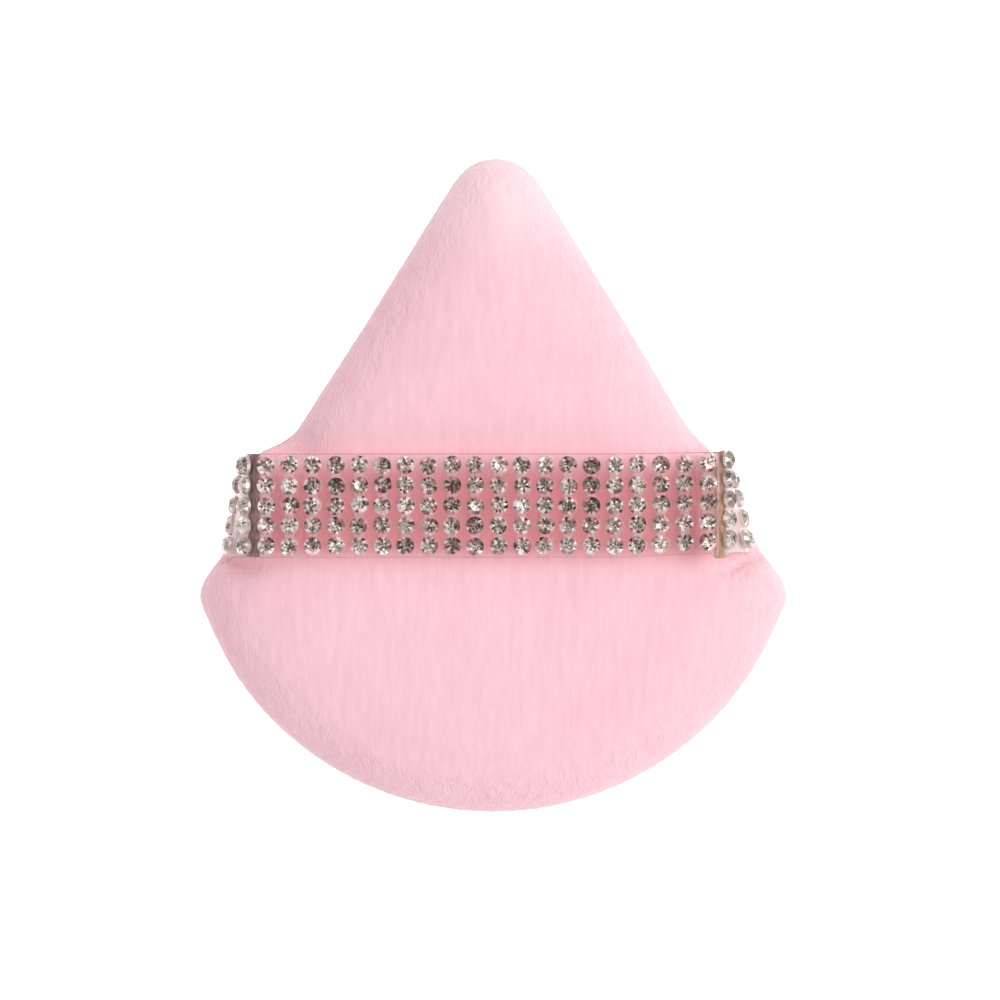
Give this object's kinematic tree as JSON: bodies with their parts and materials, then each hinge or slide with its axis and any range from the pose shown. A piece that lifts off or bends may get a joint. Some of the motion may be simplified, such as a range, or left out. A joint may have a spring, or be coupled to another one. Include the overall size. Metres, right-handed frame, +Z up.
{
  "type": "powder puff",
  "caption": "Triangular velvet cosmetic puff with a rounded tip, a bowed lower edge and a clear finger strap set with rows of faceted stones.",
  "frame": {"origin": "on the surface that the powder face lies on, below the middle of the puff's outline", "axes": "+Y towards the pointed tip, along the puff's length; +Z up out of the powder face, towards the strap; +X to the right seen from the strap side with the tip up"},
  "size_m": [0.0714, 0.0798, 0.02],
  "materials": {
    "velvet": "soft short-pile pink velvet",
    "foam": "soft open-cell foam",
    "thread": "pink sewing thread",
    "clear_film": "clear flexible film",
    "crystal": "faceted foil-backed glass in clear glue"
  },
  "bodies": {
    "puff": {"powder_face_cover": "velvet", "grip_face_cover": "velvet", "foam_core": "foam", "seam_needle_thread": "thread", "seam_bobbin_thread": "thread", "closing_thread": "thread", "strap_end_left": "clear_film", "strap_end_right": "clear_film", "stone_column_01": "crystal", "stone_column_02": "crystal", "stone_column_03": "crystal", "stone_column_24": "crystal", "stone_column_25": "crystal", "stone_column_26": "crystal"},
    "strap": {"strap_film": "clear_film", "stone_column_04": "crystal", "stone_column_05": "crystal", "stone_column_06": "crystal", "stone_column_07": "crystal", "stone_column_08": "crystal", "stone_column_09": "crystal", "stone_column_10": "crystal", "stone_column_11": "crystal", "stone_column_12": "crystal", "stone_column_13": "crystal", "stone_column_14": "crystal", "stone_column_15": "crystal", "stone_column_16": "crystal", "stone_column_17": "crystal", "stone_column_18": "crystal", "stone_column_19": "crystal", "stone_column_20": "crystal", "stone_column_21": "crystal", "stone_column_22": "crystal", "stone_column_23": "crystal"}
  },
  "joints": [
    {"name": "strap_lift", "type": "slide", "parent": "puff", "child": "strap", "axis": [0, 0, 1], "range_m": [0, 0.004], "stiffness_N_per_m": 80, "deforming": ["strap_end_left", "strap_end_right", "stone_column_01", "stone_column_02", "stone_column_03", "stone_column_24", "stone_column_25", "stone_column_26"]}
  ]
}
